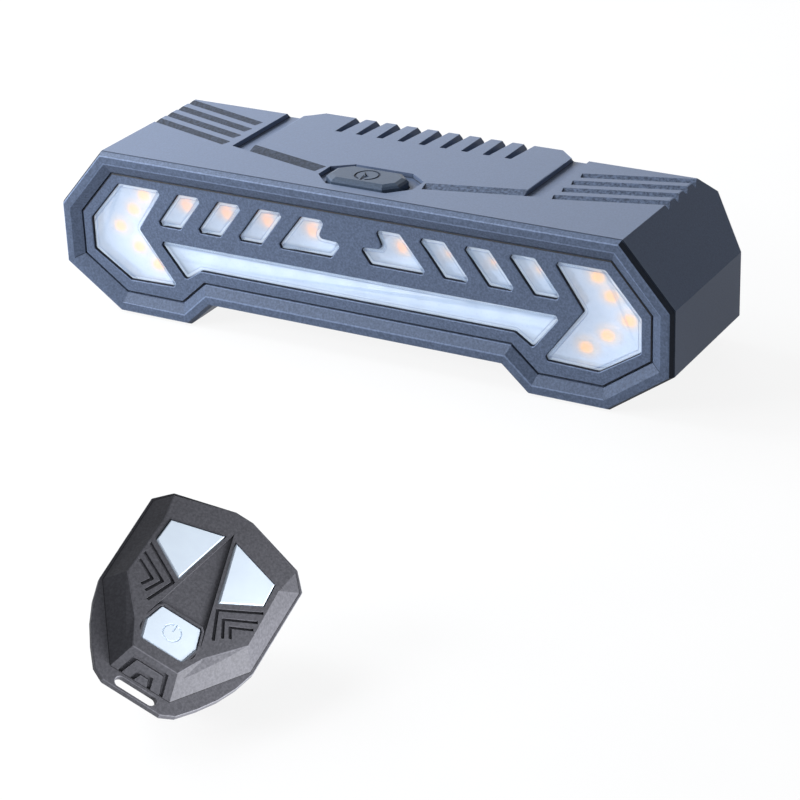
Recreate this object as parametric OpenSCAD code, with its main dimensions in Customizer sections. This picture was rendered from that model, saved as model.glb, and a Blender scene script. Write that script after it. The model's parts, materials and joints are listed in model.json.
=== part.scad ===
/* [Lamp body] */
// Overall width of the lamp
lamp_w = 131.2; // [120:0.1:150]
// Overall height of the lamp, without the button
lamp_h = 33.3; // [31:0.1:40]
// Depth of the lamp from the front face to the rear face
lamp_d = 39; // [38:0.5:46]
// Width of each upper side slope
top_slope_w = 10.2; // [8:0.1:12]
// Height of the side ridge, where the upper slope starts
ridge_z = 21.5; // [20:0.1:24]
// Height of the lower knee on each side
knee_z = 8.8; // [7:0.1:10]
// Width of each lower side slope
low_slope_w = 12.4; // [11:0.1:13.5]
// Width of the foot under each lower lobe
lobe_w = 16.1; // [14.5:0.1:18]
// Width of the slope at each end of the relief under the middle
notch_slope_w = 5.4; // [4.5:0.1:6.5]
// Height of the relief under the middle
notch_h = 4.9; // [4.5:0.1:5.5]
// Wall thickness of the housing
wall = 1.8; // [1.6:0.1:2]

/* [Housing rear] */
// How far each rear corner is cut back across the width
rear_cut_x = 9; // [6:0.5:10]
// How far each rear corner is cut back along the depth
rear_cut_y = 7.6; // [5:0.1:8]
// Size of the slope along the rear top edge of the outer sections
rear_slope = 4.6; // [3:0.1:5]
// Size of the slope along the rear edge of the middle deck
deck_slope = 1.2; // [0.8:0.1:1.6]
// Half width of the middle deck
deck_half_w = 29.6; // [28:0.1:31]
// Size of the cut at each rear corner of the middle deck
deck_cut = 4.5; // [3.5:0.1:5]

/* [Top relief] */
// Depth of the groove that runs round the middle deck
groove_depth = 1; // [0.6:0.1:1]
// Width of the groove beside the middle deck
groove_w = 3.8; // [3.2:0.1:4]
// Inner end of the groove's front arm, from the middle
groove_tip_x = 11.5; // [11:0.1:13]
// Place of the groove's front arm at its tip, from the front face
groove_tip_y = 8.5; // [8:0.1:9]
// Slant of the groove's front arm
groove_slant = 0.25; // [0.2:0.01:0.3]
// Number of notches in the rear edge of the middle deck
notch_count = 9; // [5:1:9]
// Spacing of those notches
notch_pitch = 4.66; // [4.4:0.01:4.8]
// Width of each notch at its front
rear_notch_w = 1.4; // [1:0.1:1.8]
// How much wider each notch is at the rear
rear_notch_flare = 1.1; // [0.8:0.1:1.3]
// Length of each notch
rear_notch_len = 9.6; // [7:0.1:10]
// Depth of each notch
rear_notch_depth = 2.4; // [1.6:0.1:2.6]
// Number of ribs' grooves on each outer section
vent_count = 4; // [3:1:4]
// Spacing of those grooves
vent_pitch = 4; // [3.6:0.1:4.2]
// Width of each of those grooves
vent_w = 2.2; // [1.6:0.1:2.4]
// Depth of each of those grooves
vent_depth = 0.9; // [0.5:0.1:1]
// Inner end of those grooves, from the middle
vent_x = 35.6; // [35:0.1:38]
// Place of the first of those grooves, from the front face
vent_y = 13.8; // [12:0.1:15]
// Slant of those grooves
vent_slant = 0.29; // [0.2:0.01:0.32]

/* [Front] */
// Depth of the bezel in front of the seam
bezel_band = 1.2; // [1:0.1:1.5]
// Width of the bezel's front face
bezel_face = 2.6; // [2.2:0.1:2.8]
// Distance from the lamp's outline to the bezel's opening
opening_inset = 4.1; // [3.8:0.1:4.4]
// Depth of the mask's face behind the bezel's front face
mask_y = 1.15; // [1:0.05:1.5]
// Thickness of the mask
mask_t = 1.5; // [1.4:0.1:1.8]
// Gap round the mask that shows as a dark line
mask_gap = 0.25; // [0.2:0.05:0.4]
// Depth of the lens faces behind the mask's face
lens_recess = 0.6; // [0.4:0.05:0.8]
// Corner radius of the windows
window_r = 0.7; // [0.4:0.1:1]
// Height of the upper edge of the small windows
window_top_z = 26.9; // [26.5:0.1:27.2]
// Height of the lower edge of the small windows
window_low_z = 19.6; // [19:0.1:20]
// Spacing of the slanted small windows
window_pitch = 9.2; // [9:0.05:9.4]
// Lower inner corner of the first slanted small window, from the middle
window_x = 19.7; // [19.4:0.1:20]
// Width of each slanted small window
window_w = 5.7; // [5:0.1:5.8]
// Sideways slant of each slanted small window
window_lean = 5.5; // [5:0.1:5.8]
// Upper edge of the long double arrow
bar_top_z = 16.5; // [16:0.1:16.8]
// Lower edge of the long double arrow
bar_low_z = 11.6; // [11:0.1:12]

/* [Optics and boards] */
// Thickness of the lens moulding's back plate
lens_t = 1.5; // [1.2:0.1:1.8]
// Depth of the light box between the lens and the boards
box_d = 2.05; // [1.9:0.05:2.4]
// Thickness of the lamp's circuit boards
board_t = 1; // [0.8:0.1:1.2]
// Length of a light-emitting chip package
led_l = 3.5; // [3:0.1:3.5]
// Width of a light-emitting chip package
led_w = 2.8; // [2.4:0.1:2.8]
// Height of a light-emitting chip package
led_h = 0.7; // [0.5:0.05:0.8]
// Number of chips behind the long arrow
bar_led_count = 12; // [8:1:14]
// Height of the control board's underside
control_z = 26.6; // [26.5:0.1:26.9]

/* [Battery] */
// Diameter of the battery cell
cell_d = 18.4; // [18:0.1:18.4]
// Length of the battery cell
cell_l = 65; // [60:0.5:65.5]
// Height of the cell's axis
cell_z = 16.5; // [16.3:0.1:16.6]
// Depth of the cell's axis behind the front face
cell_y = 24; // [23.5:0.1:24.5]

/* [Lamp button] */
// Width of the button
button_w = 15.6; // [14:0.1:16]
// Depth of the button, front to back
button_d = 8.4; // [8:0.1:9]
// Depth of the button's front edge behind the front face
button_y = 4.4; // [4.2:0.1:4.8]
// Height of the button above the top
button_rise = 0.95; // [0.8:0.05:1.2]
// Depth of the recess round the button
recess_depth = 0.9; // [0.6:0.1:0.9]
// Travel of the button
button_travel = 0.5; // [0.3:0.05:0.5]
// Clearance round the button
button_gap = 0.3; // [0.2:0.05:0.4]

/* [Seat post mount] */
// Radius of the seat post that the saddle fits
post_r = 13.6; // [12.5:0.1:14]
// Depth of the saddle's hollow
saddle_sag = 6; // [6:0.1:6.6]
// Thickness of the rubber behind the hollow
saddle_base = 1.6; // [1.2:0.1:2.4]
// Height of the saddle along the post
saddle_h = 20; // [16:0.5:22]
// Thickness of the bracket plate
bracket_t = 2.4; // [2:0.1:3]
// Width of the bracket plate
bracket_w = 40; // [38:0.5:44]
// Lower edge of the bracket plate
bracket_low_z = 3; // [2.5:0.1:3.5]
// Upper edge of the bracket plate
bracket_top_z = 28; // [27:0.1:28.2]
// Height of the strap's band
strap_h = 10; // [8:0.5:10]
// Thickness of the strap
strap_t = 2; // [1.6:0.1:2.4]

/* [Charging port] */
// Distance from the end of the battery cell to the middle of the charging port
port_gap = 7; // [6.5:0.1:8]
// Height of the charging port
port_z = 12; // [11.5:0.1:12.5]
// Width of the port cover
port_cover_w = 14; // [13:0.1:15]
// Height of the port cover
port_cover_h = 8; // [7:0.1:9]

/* [Remote] */
// Place of the remote's face centre: across and in depth
remote_at = [39.05, -117.2];
// Turns of the remote about X, then Y, then Z
remote_turn = [23.3, 31.4, 15.2];
// Height of the remote's raised body
raise_h = 3; // [2.4:0.1:3.4]
// Thickness of the rim of the upper shell
rim_t = 1.2; // [1:0.1:1.6]
// Height of the lower shell
base_h = 5.5; // [4.8:0.05:6]
// Wall thickness of the remote's shells
shell_t = 1.1; // [0.9:0.1:1.3]
// Clearance round the remote's buttons
key_gap = 0.2; // [0.15:0.05:0.3]
// Travel of the remote's buttons
key_travel = 0.3; // [0.2:0.05:0.3]
// Depth of the sunk middle panel
panel_depth = 0.35; // [0.2:0.05:0.5]
// Width of each decorative groove on the remote
chevron_w = 0.5; // [0.3:0.05:0.6]
// Width of each groove on the remote's nose
nose_groove_w = 0.6; // [0.4:0.05:0.7]
// Depth of each decorative groove on the remote
chevron_depth = 0.4; // [0.2:0.05:0.5]
// Diameter of the coin cell
coin_d = 20; // [16:0.5:20]
// Thickness of the coin cell
coin_t = 3.2; // [2:0.1:3.2]
// Length of the lanyard slot
slot_l = 6.7; // [5:0.1:7]
// Width of the lanyard slot
slot_w = 1.6; // [1:0.1:1.7]
// Distance from the nose's tip to the middle of the lanyard slot
slot_back = 1.2; // [1.1:0.05:1.3]
// How far the lower shell starts behind the nose's tip
base_back = 2.1; // [2.1:0.1:2.6]
// How far the lower shell's underside is drawn back under the nose
base_lean = 5.2; // [4:0.1:5.6]
// Radius of the handlebar that the remote's saddle fits
bar_r = 11.1; // [10.5:0.1:12]
// Width of the remote's saddle along the handlebar
bar_pad_w = 10; // [8:0.5:11]
// Depth of the hollow in the remote's saddle
bar_sag = 2.6; // [2:0.1:2.8]
// Thickness of the rubber behind that hollow
bar_base = 1.2; // [1:0.1:1.4]
// Width of the remote's elastic band
band_w = 7; // [5:0.5:8]
// Thickness of the remote's elastic band
band_t = 1.6; // [1.2:0.1:1.8]
// Depth of the slack band below its hooks
band_depth = 4.8; // [4.7:0.1:6]

/* [Hidden] */
$fn = 48;
// clearance between parts seated in one casing
fit = 0.1;
// running clearance round pins
run = 0.05;
// overshoot of a cutting shape
over = 1;

function unit(v) = v / norm(v);
function both(half) = concat(half, [for (i = [len(half) - 1:-1:0]) [-half[i][0], half[i][1]]]);
function flipped(p) = [for (i = [len(p) - 1:-1:0]) [-p[i][0], p[i][1]]];
function moved(p, dx) = [for (q = p) [q[0] + dx, q[1]]];

// an outline drawn anticlockwise, moved inwards by d
function inset(p, d) =
    let (n = len(p))
    [for (i = [0:n - 1])
        let (a = unit(p[i] - p[(i + n - 1) % n]), b = unit(p[(i + 1) % n] - p[i]))
        p[i] + d * [-a[1] - b[1], a[0] + b[0]] / (1 + a * b)];

// an outline with each corner rounded to radius r by four points
function rounded(p, r) =
    let (n = len(p))
    [for (i = [0:n - 1])
        let (
            u = unit(p[(i + n - 1) % n] - p[i]), v = unit(p[(i + 1) % n] - p[i]),
            half = acos(u * v) / 2, c = p[i] + unit(u + v) * r / sin(half),
            from = p[i] + u * r / tan(half) - c, to = p[i] + v * r / tan(half) - c
        )
        for (k = [0:3]) c + r * unit(from * (3 - k) + to * k)];

// a prism on an outline in width and height, between two depths
module slab(p, y0, y1) translate([0, y1, 0]) rotate([90, 0, 0]) linear_extrude(y1 - y0) polygon(p);

// a prism on an outline in depth and height, between two places across
module run_x(x0, x1, p) translate([x0, 0, 0]) rotate([90, 0, 90]) linear_extrude(x1 - x0) polygon(p);

// a solid between two outlines of equal count at two heights
module loft(a, za, b, zb) {
    n = len(a);
    polyhedron(
        concat([for (p = a) [p[0], p[1], za]], [for (p = b) [p[0], p[1], zb]]),
        concat(
            [[for (i = [0:n - 1]) i]], [[for (i = [n - 1:-1:0]) n + i]],
            [for (i = [0:n - 1]) [i, n + i, (i + 1) % n]],
            [for (i = [0:n - 1]) [n + i, n + (i + 1) % n, (i + 1) % n]]
        )
    );
}

module mirrored() {
    children();
    mirror([1, 0, 0]) children();
}
module block(x0, x1, y0, y1, z0, z1) translate([x0, y0, z0]) cube([x1 - x0, y1 - y0, z1 - z0]);
// a round bar along the depth
module bar_y(r, y0, y1) translate([0, y1, 0]) rotate([90, 0, 0]) cylinder(r = r, h = y1 - y0);

// Lamp outlines
side = lamp_w / 2;
lobe_out = side - low_slope_w;
lobe_in = lobe_out - lobe_w;
lamp_outline = both([
    [lobe_in - notch_slope_w, notch_h], [lobe_in, 0], [lobe_out, 0],
    [side, knee_z], [side, ridge_z], [side - top_slope_w, lamp_h]
]);
// the windows and chips keep their places in proportion to the lamp's width
function spread(p) = let (drawn_w = 131.2) [for (q = p) [q[0] * lamp_w / drawn_w, q[1]]];
chevron = spread([
    [50.9, 6.9], [59.2, 12.2], [59.2, 18.9], [52.2, 27], [41.9, 27], [47.9, 18.2], [39.6, 7.2]
]);
bar_arrow = spread(concat(
    [[-34.1, bar_low_z], [34.1, bar_low_z], [37.7, bar_low_z - 2.4], [43.6, bar_top_z]],
    [[-43.6, bar_top_z], [-37.7, bar_low_z - 2.4]]
));
small_window = [
    [window_x, window_low_z], [window_x + window_w, window_low_z],
    [window_x + window_w - window_lean, window_top_z], [window_x - window_lean, window_top_z]
];
arrowhead = [
    [4.2, window_low_z], [16.4, window_low_z], [10.6, window_top_z], [5.4, window_top_z],
    [7, 23.2], [1.8, 22.9]
];
right_windows = concat(
    [chevron, spread(arrowhead)], [for (k = [0:2]) spread(moved(small_window, window_pitch * k))]
);
windows = concat([bar_arrow], right_windows, [for (w = right_windows) flipped(w)]);

// Stations along the depth
seam_y = bezel_band + 0.15;
lip_y = mask_y + mask_t / 2;
lens_face_y = mask_y + lens_recess;
lens_y = mask_y + mask_t;
box_y = lens_y + lens_t;
board_y = box_y + box_d;
board_back_y = board_y + board_t;
tongue_y = board_back_y + 4.8;
rear_in_y = lamp_d - wall;
plate_y = lamp_d + bracket_t;
post_y = plate_y + saddle_base + post_r;

// Lamp insets
tongue_out = wall + fit;
tongue_in = tongue_out + 1.4;
seat_inset = tongue_in + fit;

// Screws between housing and bezel
screw_x = side - 12.3;
screw_low_z = 7.4;
screw_top_z = 24.5;
screw_r = 1;
screw_head_r = 1.9;
screw_head_y = lamp_d - 3.2;
boss_end_y = lamp_d - 11;

// Cell, cradle and control board
cradle_half = cell_l / 2 + 1.8;
control_half = 24;

// Button
button_side = button_w / 2;
button_end_y = button_y + button_d;
button_outline = both([
    [button_side - 2.4, button_y], [button_side, button_y + 2.3],
    [button_side, button_end_y - 2.4], [button_side - 2.5, button_end_y]
]);
recess_outline = both([
    [6.4, button_y - 0.5], [10.1, button_y + 3.2],
    [10.1, button_end_y - 0.8], [6.2, button_end_y + 2.1]
]);
recess_z = lamp_h - recess_depth;
deck_low_z = recess_z - 1.4;
flange_room_z = deck_low_z - 1.4 - button_travel;
stem_y = 11;
control_top_z = control_z + board_t;
switch_top_z = control_top_z + 1.4;
plunger_top_z = switch_top_z + button_travel;

// Port and cover
port_x = -cell_l / 2 - port_gap;
port_board_z = port_z - 1.6;
port_low_z = port_z - port_cover_h / 2;
port_high_z = port_z + port_cover_h / 2;
hinge_x = port_x + port_cover_w / 2 + 1;
hinge_y = lamp_d + 0.5;
hinge_pin_r = 0.45;
pocket_y = lamp_d - 0.8;
pocket_gap = 0.35;

// Strap pins
pin_x = post_r + 2.65;
pin_y = plate_y + 3.6;
pin_r = 1.2;
strap_low_z = bracket_low_z + 1.4;
ear_t = 1.2;
pad_half_w = sqrt(pow(post_r, 2) - pow(post_r - saddle_sag, 2)) + 1;
pad_low_z = 6;

// Remote outlines on its face: across and along
nose_v = -5.2;
nose_foot_v = -8.2;
nose_tip_v = -10.7;
widest_v = 3.1;
face_outline = both([[3.78, nose_v], [10.3, 4.8], [10, 15.6], [10.7, 20], [1.7, 23.2]]);
foot_outline = both([[5, nose_foot_v], [12.7, 3.1], [12.9, 19.1], [10.8, 21.9], [1.6, 24.9]]);
rim_outline = both([
    [4.8, nose_tip_v], [6.8, -9.6], [8.9, -6.8], [10.8, -3.7], [12.2, -0.5], [13.2, widest_v],
    [13.3, 19.4], [10.95, 22.3], [1.5, 25.3]
]);
panel_outline = [
    [-3.57, -3.5], [3.57, -3.5], [4.54, -1.6], [4.6, 0.54], [0, 19.8], [-4.6, 0.54], [-4.54, -1.6]
];
turn_key = [[3.5, 8.4], [9.2, 12], [9, 16.05], [1.03, 18.55]];
turn_key_foot = [[3, 7.6], [8.2, 10.75], [8.2, 16.9], [2.2, 18.9]];
power_key = both([[3.06, -3.16], [3.37, -3], [4.15, -0.15], [3.37, 2.65], [3.03, 3]]);
power_key_foot = both([[2.8, -3.7], [3.6, -3.3], [4.75, -0.15], [3.6, 3.2], [2.8, 3.6]]);
turn_stem = [5.6, 13.6];
nose_slope = atan2(raise_h, nose_v - nose_foot_v);
nose_len = norm([raise_h, nose_v - nose_foot_v]);

// Remote heights below its face
rim_low = raise_h + rim_t;
base_top = rim_low + 0.05;
base_low = base_top + base_h;
remote_board_low = base_top + 0.35;
remote_board_top = remote_board_low - 0.8;
coin_top = remote_board_low + fit;
coin_at = [0, 8.5];
slot_v = nose_tip_v + slot_back;
key_low = shell_t + 0.2;
foot_low = key_low + 0.6;
dome_top = foot_low + key_travel + 0.5;

// Remote's place: turned, and standing on its slack band
function turned(p) =
    let (
        a = remote_turn[0], b = remote_turn[1], c = remote_turn[2],
        q = [p[0], p[1] * cos(a) - p[2] * sin(a), p[1] * sin(a) + p[2] * cos(a)],
        r = [q[0] * cos(b) + q[2] * sin(b), q[1], q[2] * cos(b) - q[0] * sin(b)]
    )
    [r[0] * cos(c) - r[1] * sin(c), r[0] * sin(c) + r[1] * cos(c), r[2]];
// an outline whose nose is drawn back by d, and less so towards its widest place
function drawn_back(p, d) =
    [for (q = p) q + [0, d * max(0, widest_v - q[1]) / (widest_v - nose_tip_v)]];
base_rim = drawn_back(inset(rim_outline, 0.15), base_back);
base_foot = drawn_back(inset(rim_outline, 1.6), base_lean);
remote_front = min([for (p = rim_outline) turned([p[0], p[1], -raise_h])[1]]);
rim_point = min([for (p = rim_outline) turned([p[0], p[1], -rim_low])[1]]);

// The band hangs from its pegs as half an oval whose lowest point rests on the ground
bar_v = 9.2;
bar_half_l = 8.6;
hook_low = base_low + 2.4;
band_a = bar_half_l + 1.05 + band_t;
band_reach = norm([band_a * turned([0, 1, 0])[2], band_depth * turned([0, 0, 1])[2]]);
remote_rest = band_reach - turned([band_w / 2, bar_v, -hook_low])[2];
eye_v = bar_v - band_a + band_t / 2;
eye_low = base_low + 1.7;
peg_r = 0.7;

// The origin lies under the middle of everything's depth
rear_reach = post_y + post_r + strap_t;
front_reach = remote_at[1] + min(remote_front, rim_point);
mid_y = (rear_reach + front_reach) / 2;

// Casing
function side_profile(slope) = [
    [-10, -10], [lamp_d, -10], [lamp_d, lamp_h - slope], [lamp_d - slope, lamp_h], [-10, lamp_h]
];
plan_outline = both([[side, -10], [side, lamp_d - rear_cut_y], [side - rear_cut_x, lamp_d]]);
deck_outline = both([
    [deck_half_w, -10], [deck_half_w, lamp_d - deck_cut], [deck_half_w - deck_cut, lamp_d]
]);
groove_out_x = deck_half_w + groove_w;
groove_end_y = groove_tip_y + (groove_out_x - groove_tip_x) * groove_slant;
groove_arm = groove_w - 0.6;
groove_outline = [
    [deck_half_w, groove_end_y + run - groove_w * groove_slant], [groove_out_x, groove_end_y + run],
    [groove_out_x, lamp_d + 5], [deck_half_w, lamp_d + 5]
];
groove_len = (groove_out_x - run - groove_tip_x) / cos(atan(groove_slant));
vent_reach = (side - vent_x) * 1.1;

// Places
screw_places = [for (x = [-screw_x, screw_x], z = [screw_low_z, screw_top_z]) [x, z]];
bracket_screw_places = [for (x = [-14.5, 14.5], z = [10, 24]) [x, z]];
amber_places = spread([
    [49, 23.7], [51.7, 20.4], [55.2, 16.3], [51, 12.6], [46.7, 9.5],
    [38.3, 22.5], [29, 22.4], [19.7, 22.4], [9.8, 22]
]);
bar_pitch = spread([[73, 0]])[0][0] / bar_led_count;
bar_z = (bar_top_z + bar_low_z) / 2;

module in_frame() translate([0, -mid_y, 0]) children();
module in_remote()
    in_frame() translate([remote_at[0], remote_at[1], remote_rest]) rotate(remote_turn) children();

// the hollow casing's outer or inner surface, closed at the rear
module casing(d) intersection() {
    slab(inset(lamp_outline, d), d > 0 ? seam_y - over : seam_y, lamp_d);
    linear_extrude(lamp_h) polygon(inset(plan_outline, d));
    union() {
        run_x(-lamp_w, lamp_w, inset(side_profile(rear_slope), d));
        intersection() {
            run_x(-lamp_w, lamp_w, inset(side_profile(deck_slope), d));
            linear_extrude(lamp_h) polygon(inset(deck_outline, d));
        }
    }
}

// room that the button's flange needs above the front parts
module flange_room() block(-9.8, 9.8, button_y - 1.2, board_back_y + over, flange_room_z, lamp_h);

// a screw along the depth, its head at the rear
module screw_y(head_y, head_h, tip_y) difference() {
    union() {
        bar_y(screw_head_r, head_y, head_y + head_h);
        bar_y(screw_r, tip_y, head_y + head_h / 2);
    }
    bar_y(0.9, head_y + head_h / 2, head_y + head_h + over, $fn = 6);
}

// a ring-shaped power sign, as a shape to cut with
module power_sign(r, line, depth) translate([0, 0, -depth]) {
    difference() {
        cylinder(r = r, h = depth + over);
        translate([0, 0, -over]) cylinder(r = r - line, h = depth + 3 * over);
        block(-line * 1.4, line * 1.4, 0, r + over, -over, depth + 2 * over);
    }
    block(-line / 2, line / 2, r * 0.15, r * 1.05, 0, depth + over);
}

// a groove as a shape to cut with: upright at its front, rising to the surface at its back
module wedge_cut(len, w, depth)
    run_x(0, len, [[0, -depth], [w * (1 + over / depth), over], [0, over]]);

// Lamp
module rear_housing() color([0.36, 0.4, 0.47]) in_frame() difference() {
    union() {
        difference() {
            casing(0);
            casing(wall);
        }
        intersection() {
            casing(wall / 2);
            union() {
                block(-11.5, 11.5, seam_y + 1.2, recess_outline[3][1] + 1.6, deck_low_z, lamp_h);
                block(-26, 26, lamp_d - rear_notch_len - 1.6, lamp_d,
                    lamp_h - rear_notch_depth - 1.4, lamp_h);
                for (p = screw_places) translate([p[0], 0, p[1]]) bar_y(2.8, boss_end_y, lamp_d);
                for (x = [port_x - 5, port_x + 3])
                    block(x - 0.6, x + 0.6, 27, 34, 0, port_board_z - board_t);
            }
        }
        for (z = [port_low_z - 1.6, port_high_z + pocket_gap])
            block(hinge_x - 1, hinge_x + 1, lamp_d - 0.6, hinge_y + 1, z, z + 1.25);
    }
    slab(inset(lamp_outline, 1), seam_y - over, seam_y + 1);
    mirrored() {
        translate([0, 0, lamp_h - groove_depth])
            linear_extrude(groove_depth + over) polygon(groove_outline);
        translate([groove_tip_x, groove_tip_y, lamp_h]) rotate([0, 0, atan(groove_slant)])
            wedge_cut(groove_len, groove_arm, groove_depth);
    }
    for (k = [0:notch_count - 1])
        translate([(k - (notch_count - 1) / 2) * notch_pitch, 0, lamp_h - rear_notch_depth])
            linear_extrude(rear_notch_depth + over) polygon([
                [-rear_notch_w / 2, lamp_d - rear_notch_len],
                [rear_notch_w / 2, lamp_d - rear_notch_len],
                [rear_notch_w / 2 + rear_notch_flare, lamp_d + over],
                [-rear_notch_w / 2, lamp_d + over]
            ]);
    mirrored() for (k = [0:vent_count - 1])
        translate([vent_x, vent_y + k * vent_pitch, lamp_h]) rotate([0, 0, atan(vent_slant)])
            wedge_cut(vent_reach, vent_w, vent_depth);
    translate([0, 0, recess_z]) linear_extrude(lamp_h) polygon(recess_outline);
    translate([0, 0, deck_low_z - over])
        linear_extrude(lamp_h) polygon(inset(button_outline, -button_gap));
    for (p = screw_places) translate([p[0], 0, p[1]]) {
        bar_y(screw_r + 0.25, boss_end_y - over, lamp_d);
        bar_y(screw_head_r + 0.4, screw_head_y, lamp_d + over);
    }
    for (p = bracket_screw_places)
        translate([p[0], 0, p[1]]) bar_y(screw_r + fit, rear_in_y - over, lamp_d + over);
    block(port_x - 4.7, port_x + 4.7, rear_in_y - over, lamp_d, port_z - 1.8, port_z + 1.8);
    block(port_x - port_cover_w / 2 - pocket_gap, hinge_x + 1 + pocket_gap, pocket_y, lamp_d + 2,
        port_low_z - pocket_gap, port_high_z + pocket_gap);
    translate([hinge_x, hinge_y, port_low_z - 1.4])
        cylinder(r = hinge_pin_r + run, h = port_cover_h + 2.8);
}

module front_bezel() color([0.33, 0.37, 0.44]) in_frame() difference() {
    union() {
        slab(lamp_outline, 0, bezel_band);
        slab(inset(lamp_outline, tongue_out), bezel_band / 2, tongue_y);
    }
    slab(inset(lamp_outline, bezel_face), -over, mask_y / 2);
    slab(inset(lamp_outline, opening_inset), 0, tongue_y + over);
    slab(inset(lamp_outline, tongue_in), lip_y, tongue_y + over);
    block(-12.5, 12.5, seam_y + 0.95, tongue_y + over, 28, lamp_h);
}

module front_mask() color([0.36, 0.4, 0.47]) in_frame() difference() {
    union() {
        slab(inset(lamp_outline, opening_inset + mask_gap), mask_y, lens_y);
        slab(inset(lamp_outline, seat_inset), lip_y + run, lens_y);
    }
    for (w = windows) slab(rounded(w, window_r), mask_y - over, lens_y + over);
}

module front_lens() color([0.86, 0.89, 0.94]) in_frame() {
    difference() {
        slab(inset(lamp_outline, seat_inset), lens_y, box_y);
        flange_room();
    }
    for (w = windows) slab(rounded(inset(w, fit), window_r - fit), lens_face_y, lens_y + 0.2);
}

module bar_diffuser() color([0.97, 0.95, 0.86]) in_frame()
    slab(inset(bar_arrow, -0.7), box_y + run, box_y + 0.75);

module light_box() color([0.93, 0.94, 0.95]) in_frame() difference() {
    slab(inset(lamp_outline, seat_inset), box_y, board_y);
    for (w = windows) slab(inset(w, -0.8), box_y - over, board_y + over);
    flange_room();
}

module front_frame() color([0.12, 0.13, 0.15]) in_frame() difference() {
    union() {
        difference() {
            slab(inset(lamp_outline, seat_inset), board_back_y + fit, board_back_y + 2);
            slab(inset(lamp_outline, seat_inset + 2), board_back_y, board_back_y + 3);
            block(-12.5, 12.5, board_back_y, tongue_y, 27.8, lamp_h);
        }
        for (p = screw_places)
            translate([p[0], 0, p[1]]) bar_y(2.5, board_back_y + fit, boss_end_y - fit);
        intersection() {
            slab(inset(lamp_outline, seat_inset + 0.4), board_back_y + fit, tongue_y);
            mirrored() {
                block(screw_x, side, board_y, tongue_y, screw_top_z - 0.7, screw_top_z + 0.7);
                block(screw_x - 0.7, screw_x + 0.7, board_y, tongue_y, 0, screw_low_z);
            }
        }
    }
    for (p = screw_places)
        translate([p[0], 0, p[1]]) bar_y(screw_r + run, boss_end_y - 8, boss_end_y);
}

module led_board() color([0.9, 0.92, 0.93]) in_frame() difference() {
    slab(inset(lamp_outline, seat_inset + fit), board_y, board_back_y);
    flange_room();
}

// a chip package on the front of the board, with the hollow that holds its phosphor
module led(p) translate([p[0], 0, p[1]]) difference() {
    block(-led_l / 2, led_l / 2, board_y - led_h, board_y, -led_w / 2, led_w / 2);
    bar_y(led_w / 2 - 0.3, board_y - led_h - over, board_y - led_h + 0.2, $fn = 24);
}
module amber_leds_right() color([1, 0.6, 0.12]) in_frame() for (p = amber_places) led(p);
module amber_leds_left() color([1, 0.6, 0.12]) in_frame() for (p = amber_places) led([-p[0], p[1]]);
module bar_leds() color([0.98, 0.95, 0.78]) in_frame()
    for (k = [0:bar_led_count - 1]) led([(k - (bar_led_count - 1) / 2) * bar_pitch, bar_z]);

module board_link() color([0.1, 0.1, 0.11]) in_frame()
    block(-6, 6, board_back_y, board_back_y + 3, control_z - 1.7, control_z);

// Electronics behind the front
module control_board() color([0.1, 0.32, 0.2]) in_frame() difference() {
    block(-control_half, control_half, board_back_y + 0.7, boss_end_y + 5, control_z, control_top_z);
    for (x = [2.5 - control_half, control_half - 2.5])
        translate([x, boss_end_y + 2.5, control_z - over]) cylinder(r = 1.1, h = board_t + 2 * over);
}
module control_chips() color([0.09, 0.09, 0.1]) in_frame() {
    block(-20, -14, 14, 20, control_top_z, control_top_z + 1);
    block(-11, -8, 16, 19, control_top_z, control_top_z + 0.8);
    block(-19, -15, 22.5, 26.5, control_top_z, control_top_z + 1.4);
    for (x = [-5:2.5:5]) block(x - 0.6, x + 0.6, 17, 18.6, control_top_z, control_top_z + 0.6);
}
module radio_module() color([0.75, 0.76, 0.78]) in_frame() {
    block(9, 21, 15, 26, control_top_z, control_top_z + 0.5);
    block(10, 18, 15.8, 25.2, control_top_z + 0.5, control_top_z + 1.7);
}
module switch_body() color([0.1, 0.1, 0.11]) in_frame() translate([0, stem_y, 0]) difference() {
    block(-2.6, 2.6, -2.6, 2.6, control_top_z, switch_top_z);
    translate([0, 0, control_top_z + run]) cylinder(r = 1.2 + run, h = 3);
}
module switch_plunger() color([0.85, 0.85, 0.83]) in_frame()
    translate([0, stem_y, plunger_top_z - 1.3]) cylinder(r = 1.2, h = 1.3);

module power_button() color([0.4, 0.44, 0.51]) in_frame() difference() {
    union() {
        translate([0, 0, deck_low_z - 0.6])
            linear_extrude(lamp_h + button_rise - 0.7 - deck_low_z + 0.6) polygon(button_outline);
        loft(
            button_outline, lamp_h + button_rise - 0.7,
            inset(button_outline, 0.7), lamp_h + button_rise
        );
        translate([0, 0, deck_low_z - 1.1]) linear_extrude(0.9) polygon(inset(button_outline, -0.8));
        translate([0, stem_y, plunger_top_z + run]) cylinder(r = 1.5, h = 1.2);
    }
    translate([0, (button_y + button_end_y) / 2, lamp_h + button_rise])
        rotate([0, 0, 180]) power_sign(2.5, 0.45, 0.2);
}

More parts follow.
